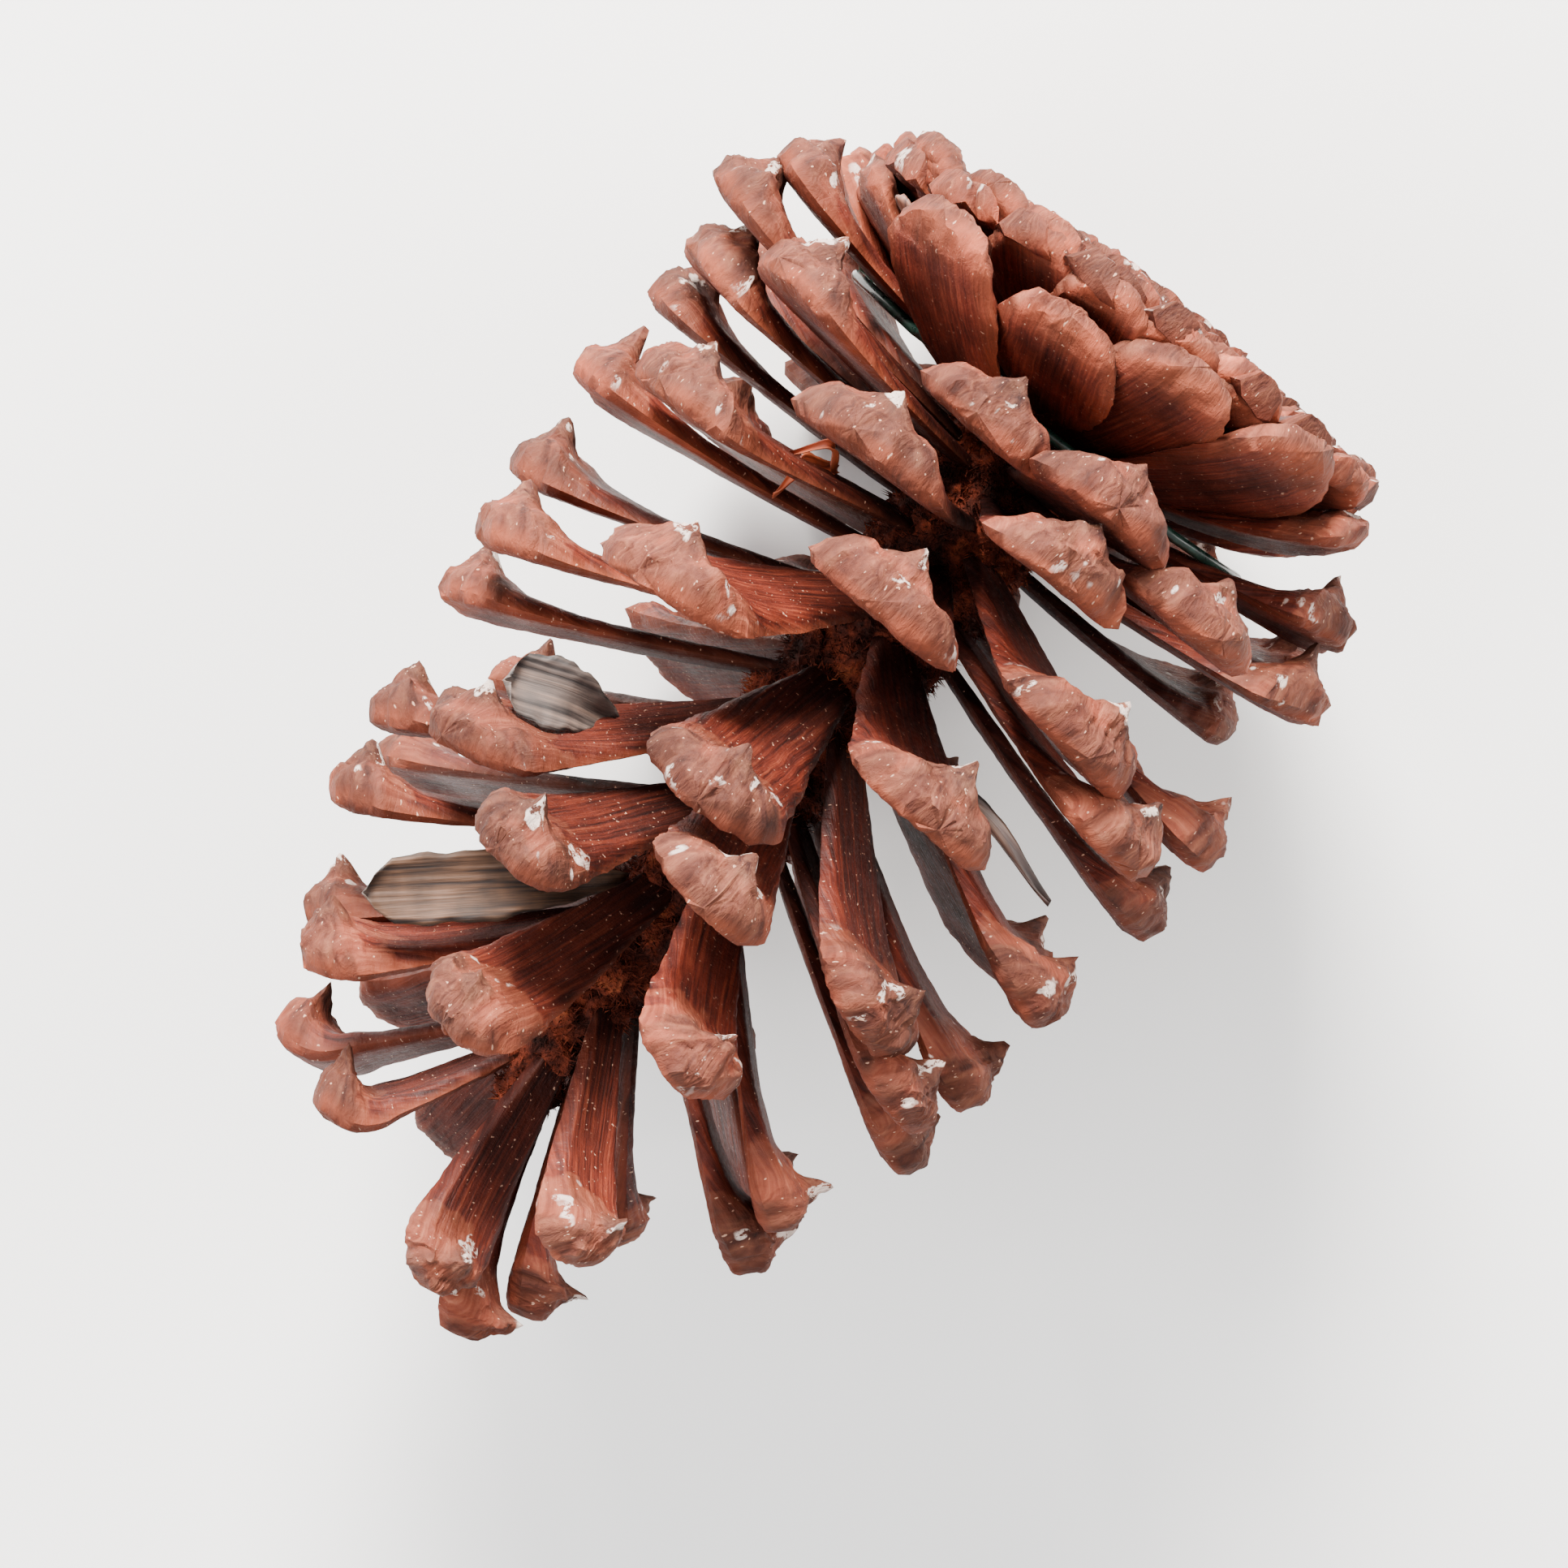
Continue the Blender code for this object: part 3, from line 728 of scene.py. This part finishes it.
def fuzz_tree():
    """The node tree that covers a mesh with short bristles, each a thin three-sided cone."""
    tree, ids, given = new_tree("grow_fuzz", ("Density", "Length", "Thickness"), ("Seed",))
    spread = tree.nodes.new("GeometryNodeDistributePointsOnFaces")
    tree.links.new(given["Geometry"], spread.inputs["Mesh"])
    tree.links.new(given["Density"], spread.inputs["Density"])
    tree.links.new(given["Seed"], spread.inputs["Seed"])
    bristle = add(tree, "GeometryNodeMeshCone", 3, 1, 1, 0.0, given["Thickness"], given["Length"])
    tilt = add(tree, "FunctionNodeRandomValue", (-0.7, -0.7, 0), (0.7, 0.7, 3), data_type="FLOAT_VECTOR",
               named=(("Seed", given["Seed"]),))
    leaned = add(tree, "FunctionNodeRotateEuler", spread.outputs["Rotation"], named=(("Rotate By", tilt),),
                 space="LOCAL")
    grow = add(tree, "FunctionNodeRandomValue", None, None, 0.5, 1.5, out=1, named=(("Seed", given["Seed"]),))
    fuzz = add(tree, "GeometryNodeInstanceOnPoints", spread.outputs["Points"],
               named=(("Instance", bristle), ("Rotation", leaned), ("Scale", grow)))
    whole = tree.nodes.new("GeometryNodeJoinGeometry")
    tree.links.new(fuzz, whole.inputs[0])
    tree.links.new(given["Geometry"], whole.inputs[0])
    close_tree(tree, whole.outputs[0], given["Material"])
    return tree, ids


CORE_FOOT = -6.0
CORE_STEP = 0.9
# The felt stands this much prouder than the solid axis.
FELT = 1.25
# A pad's half-width, as height on the axis and size.
PAD_SIZE = ((5, 4.0), (60, 3.6), (97, 1.8))
# The lowest scales have no pads.
FIRST_PAD = 8


def core_mesh():
    """The axis, with a swollen felt pad above the foot of nearly every scale, lost ones too."""
    outline = []
    z = CORE_FOOT
    while z < AXIS_END:
        outline.append((ramp(z, AXIS_RADIUS) * FELT, z))
        z += CORE_STEP
    outline.append((1.2, AXIS_END))
    outline.append((0.3, AXIS_END + 0.6))
    mesh = turned_mesh("core", outline, 44, 2.0, 3.0, CORE)
    bm = bmesh.new()
    bm.from_mesh(mesh)
    for number in range(FIRST_PAD, SCALE_COUNT):
        height = HEIGHTS[number]
        out = radial(FIRST_AZIMUTH + number * DIVERGENCE + LEANS.get(number, (0, 0))[0])
        size = ramp(height, PAD_SIZE)
        middle = out * (ramp(height, AXIS_RADIUS) + 0.9) + Vector((0, 0, height + size * 0.9))
        made = bmesh.ops.create_icosphere(bm, subdivisions=3, radius=1.0)
        flat = stand(middle, out, 90) @ Matrix.Diagonal((size, size * 0.55, size * 0.8, 1))
        for vert in made["verts"]:
            at = flat @ vert.co
            vert.co = at + (at - middle) * 0.5 * noise.noise(at * 0.6)
    bm.to_mesh(mesh)
    bm.free()
    return mesh


# ---------------------------------------------------------------- wings

# Each blade's azimuth, height on the axis, spread, distance from the axis, length and width, how
# far its face turns from the stalk end to the open side, and its curl.
WINGS = {
    "winged_seed": (-54, 70.5, 55, 6, 30, 7.6, 0.95, 0.12),
    "seed_wing_pale": (-56, 58.5, 76, 19.5, 13.5, 7.6, 0.8, 0.2),
    "seed_wing_dark": (66, 42, 82, 12, 22, 3.4, 0.5, 0.2),
}
BRACTS = ((-54, 4, 118, 22, 12, 4.2, 0.0, 0.1), (-28, 4, 126, 14, 11, 4.4, 0.0, 0.1),
          (20, 3, 118, 13, 13, 4.4, 0.0, 0.1))
SLIVERS = ((-56, 24, 70, 17, 7, 1.8, 0.6, 0.5), (-64, 24, 30, 16, 7, 2.6, 0.7, 0.5))
# The width of a blade from its foot to its end, as shares of the full one.
ROUNDED = ((0, 0.10), (0.06, 0.3), (0.2, 0.5), (0.35, 0.75), (0.55, 0.96), (0.75, 1.0), (0.9, 0.85),
           (0.97, 0.5), (1, 0.08))
POINTED = ((0, 0.5), (0.15, 0.9), (0.35, 1.0), (0.6, 0.6), (0.8, 0.3), (1, 0.03))


def blade(name, spec, shape, material, seed_size=0.0, seed=1):
    """A thin curled blade with wavy edges, thicker where a seed lies at its foot."""
    azimuth, height, spread, start, length, width, turned, curl = spec
    rng = random.Random(seed)
    columns, rows = 10, 30
    wave = rng.uniform(0, 6)
    bm = bmesh.new()
    flat = bm.verts.layers.float_vector.new("flat")
    rings = []
    for j in range(rows + 1):
        v = j / rows
        w = width / 2 * ramp(v, shape) * (1 + 0.05 * math.sin(v * 21 + wave) + 0.03 * math.sin(v * 47 + wave))
        ring = []
        for i in range(2 * columns):
            top = i < columns
            s = 1 - 2 * i / columns if top else -1 + 2 * (i - columns) / columns
            thin = 0.16 * math.sqrt(max(0, 1 - s ** 4)) * (1 if top else -1)
            kernel = seed_size * max(0, 1 - ((v - 0.1) / 0.1) ** 2) * (1 - s * s) * (1 if top else -1)
            cup = curl * width * s * s + 0.25 * math.sin(v * 5 + wave) * s
            cup += curl * 8 * math.sin(v * math.pi) ** 2
            vert = bm.verts.new((s * w, v * length, thin + kernel + cup))
            vert[flat] = (s * w, v * length, seed * 7)
            ring.append(vert)
        rings.append(ring)
    skin_rings(bm, rings)
    bm.faces.new(rings[0][::-1])
    bm.faces.new(rings[-1])
    mesh = mesh_of(bm, name)
    mesh.shade_smooth()
    mesh.materials.append(material)
    out = radial(azimuth)
    place = stand(Vector((0, 0, height)) + out * start, out, spread)
    along = place.col[1].to_3d()
    outer = place.col[2].to_3d().lerp(Vector((0, 1, 0)), turned)
    outer = (outer - along * outer.dot(along)).normalized()
    faced = Matrix((along.cross(outer), along, outer)).transposed().to_4x4()
    mesh.transform(LAID @ Matrix.Translation(place.translation) @ faced)
    return on_floor(mesh)


# ---------------------------------------------------------------- the wire

WIRE_DIAMETER = 1.2
WIRE_RADIUS = 23
WIRE_HEIGHT = 5.7
# The wire's distance from the axis and its height, by how far round from the front it is,
# in degrees.
WIRE_REACH = ((0, 16), (30, 16.5), (60, 19.5), (88, 25.5), (108, 25), (180, WIRE_RADIUS))
WIRE_RISE = ((0, 7.6), (60, 7.4), (95, 6.0), (180, WIRE_HEIGHT))
TAIL_AZIMUTH = -110
TAIL_REACH = 40
TAIL_HEIGHT = -3.5
TAIL_TURNS = 4.5
TAIL_STEPS = 60
LOOP_STEPS = 120
# Half the distance between the two strands of the twist.
STRAND_OFFSET = 0.66


def wire_mesh():
    """One round of wire whose two ends twist together on their way out."""
    tails = []
    for strand in (0, 1):
        run = []
        for i in range(TAIL_STEPS + 1):
            t = i / TAIL_STEPS
            reach = TAIL_REACH + (WIRE_RADIUS + 1.5 - TAIL_REACH) * t
            at = radial(TAIL_AZIMUTH) * reach
            at.z = TAIL_HEIGHT + (WIRE_HEIGHT - TAIL_HEIGHT) * t
            angle = 2 * math.pi * TAIL_TURNS * t + math.pi * strand
            around = radial(TAIL_AZIMUTH + 90) * math.cos(angle) + Vector((0, 0, math.sin(angle)))
            run.append(at + around * STRAND_OFFSET)
        tails.append(run)
    loop = []
    for i in range(LOOP_STEPS + 1):
        azimuth = TAIL_AZIMUTH + 3 + 354 * i / LOOP_STEPS
        front = abs((azimuth + 180) % 360 - 180)
        loop.append(radial(azimuth) * ramp(front, WIRE_REACH) + Vector((0, 0, ramp(front, WIRE_RISE))))
    route = tails[0] + loop + tails[1][::-1]
    curve = bpy.data.curves.new("wire_route", "CURVE")
    curve.dimensions = "3D"
    curve.bevel_depth = WIRE_DIAMETER / 2
    curve.bevel_resolution = 4
    curve.use_fill_caps = True
    spline = curve.splines.new("POLY")
    spline.points.add(len(route) - 1)
    for place, point in zip(spline.points, route):
        place.co = (*point, 1)
    holder = bpy.data.objects.new("wire_route", curve)
    bpy.context.collection.objects.link(holder)
    graph = bpy.context.evaluated_depsgraph_get()
    mesh = bpy.data.meshes.new_from_object(holder.evaluated_get(graph))
    bpy.data.objects.remove(holder)
    mesh.transform(LAID)
    mesh.shade_smooth()
    mesh.materials.append(COAT)
    return mesh


# ---------------------------------------------------------------- camera, light and floor

# How the cone's tip points as the camera sees it, in radians: its turn to the left of straight
# down, and its tilt towards the camera.
TIP_TURN = 0.6757
TIP_TILT = -0.023
# Where the camera stands from height 0 of the axis, in its own right, down and forward
# directions, in millimetres.
STAND_POINT = Vector((-31.4, 42.2, -595))
LENS = 130.4


def set_camera():
    """Looks down on the lying cone, which runs from the upper right to the lower left."""
    turn, tilt = TIP_TURN, TIP_TILT
    tip = Vector((-math.sin(turn) * math.cos(tilt), math.cos(turn) * math.cos(tilt), -math.sin(tilt)))
    across = Vector((math.cos(turn), math.sin(turn), 0))
    facing = tip.cross(across)
    own = Matrix((across, facing, tip))
    place = own @ STAND_POINT
    data = bpy.data.cameras.new("camera")
    data.sensor_width = 36
    data.lens = LENS
    data.clip_start = 0.05
    camera = bpy.data.objects.new("camera", data)
    bpy.context.collection.objects.link(camera)
    ways = [own @ Vector(way) for way in ((1, 0, 0), (0, -1, 0), (0, 0, -1))]
    turned = Matrix(ways).transposed()
    lie = LAID.to_3x3().normalized()
    camera.matrix_world = Matrix.Translation(LAID @ place) @ (lie @ turned).to_4x4()
    bpy.context.scene.camera = camera
    return camera


def set_light(name, camera, offset, size, energy, color):
    """A soft panel placed from the camera's own right, up and back directions, in metres."""
    data = bpy.data.lights.new(name, "AREA")
    data.size = size
    data.energy = energy
    data.color = color
    lamp = bpy.data.objects.new(name, data)
    bpy.context.collection.objects.link(lamp)
    middle = Vector((0, 0, 0.04))
    place = middle + camera.matrix_world.to_3x3() @ Vector(offset)
    aim = (middle - place).to_track_quat("-Z", "Y").to_matrix().to_4x4()
    lamp.matrix_world = Matrix.Translation(place) @ aim


def set_floor():
    """A pale matt floor at height 0."""
    bm = bmesh.new()
    bmesh.ops.create_grid(bm, x_segments=1, y_segments=1, size=3)
    mesh = bpy.data.meshes.new("floor")
    bm.to_mesh(mesh)
    bm.free()
    material, tree, shader = new_material("pale_floor")
    shader.inputs["Base Color"].default_value = linear("#f6f4f2")
    shader.inputs["Roughness"].default_value = 0.9
    mesh.materials.append(material)
    floor = bpy.data.objects.new("floor", mesh)
    bpy.context.collection.objects.link(floor)


WOOD = scale_wood()
CORE = core_wood()
COAT = wire_coat()
BLANKS = [blank(f"scale_blank_{i}", 34, 62, 40 + i) for i in range(6)]
PETALS = [blank(f"petal_blank_{i}", 24, 44, 70 + i, 0.3, 0.5, PETAL) for i in range(4)]
CRUSTS = [blank(f"crust_blank_{i}", 8, 9, 90 + i, 0.0, 0.6, PETAL) for i in range(4)]
SCALE_TREE, SCALE_IDS = scale_tree()
FUZZ_TREE, FUZZ_IDS = fuzz_tree()

free = [number for number in range(FIRST_FREE, LAST_FREE) if number not in MISSING]
for count, number in enumerate(free, start=1):
    piece(f"open_scale_{count:02d}", scale_mesh(number), "scale_wood", f"scale_{count:02d}")
half = FIRST_FREE // 2
for name, numbers in (("basal_scales_low", range(half)), ("basal_scales_high", range(half, FIRST_FREE))):
    piece(name, merged(name, [scale_mesh(number) for number in numbers]), "scale_wood", "stalk_end")
piece("dome_body", dome_body_mesh(), "scale_wood", "stalk_end")
piece("dome_crust", merged("dome_crust", crust_meshes() + rim_meshes()), "scale_wood", "stalk_end")
last = [number for number in range(LAST_FREE, SCALE_COUNT) if number not in MISSING]
piece("tip_scales", merged("tip_scales", [scale_mesh(number) for number in last]), "scale_wood", "cone_axis")
fuzz = grown(core_mesh(), FUZZ_TREE, FUZZ_IDS, {"Density": 3.2, "Length": 1.1, "Thickness": 0.09, "Seed": 4,
                                                "Material": CORE})
fuzz.transform(LAID)
piece("fuzzy_core", fuzz, "core_wood", "cone_axis")
skins = {"winged_seed": wing_skin("brown_seed_wing", "#1c0d06", "#4c3220"),
         "seed_wing_pale": wing_skin("grey_seed_wing", "#1b120f", "#4c3f39"),
         "seed_wing_dark": wing_skin("dark_seed_wing", "#1a0d0a", "#40271e")}
for name, skin in skins.items():
    mesh = blade(name, WINGS[name], POINTED if name == "seed_wing_dark" else ROUNDED, skin,
                 0.9 if name == "winged_seed" else 0.0, len(name))
    piece(f"{name}_skin", mesh, "seed_wing_skin", name)
dry = wing_skin("dry_bract_skin", "#3d2219", "#7a4e3c")
bracts = [blade("bract", spec, ROUNDED, dry, seed=20 + i) for i, spec in enumerate(BRACTS)]
piece("bracts", merged("bracts", bracts), "scale_wood", "stalk_end")
torn = wing_skin("torn_orange_sliver", "#7c2a12", "#c2603a")
slivers = [blade("sliver", spec, POINTED, torn, seed=30 + i) for i, spec in enumerate(SLIVERS)]
piece("slivers", merged("slivers", slivers), "scale_wood", "cone_axis")
piece("green_wire", wire_mesh(), "green_wire_coat", "binding_wire")

camera = set_camera()
set_light("key_panel", camera, (-0.08, 0.80, 0.70), 0.34, 80, (1.0, 0.97, 0.93))
set_light("fill_panel", camera, (-0.7, -0.25, 0.8), 0.9, 19, (0.95, 0.97, 1.0))
set_light("right_panel", camera, (0.8, 0.1, 0.5), 0.7, 12, (1.0, 0.98, 0.96))
world = bpy.data.worlds.new("studio")
world.use_nodes = True
world.node_tree.nodes["Background"].inputs["Color"].default_value = linear("#ffffff")
world.node_tree.nodes["Background"].inputs["Strength"].default_value = 0.66
bpy.context.scene.world = world
set_floor()
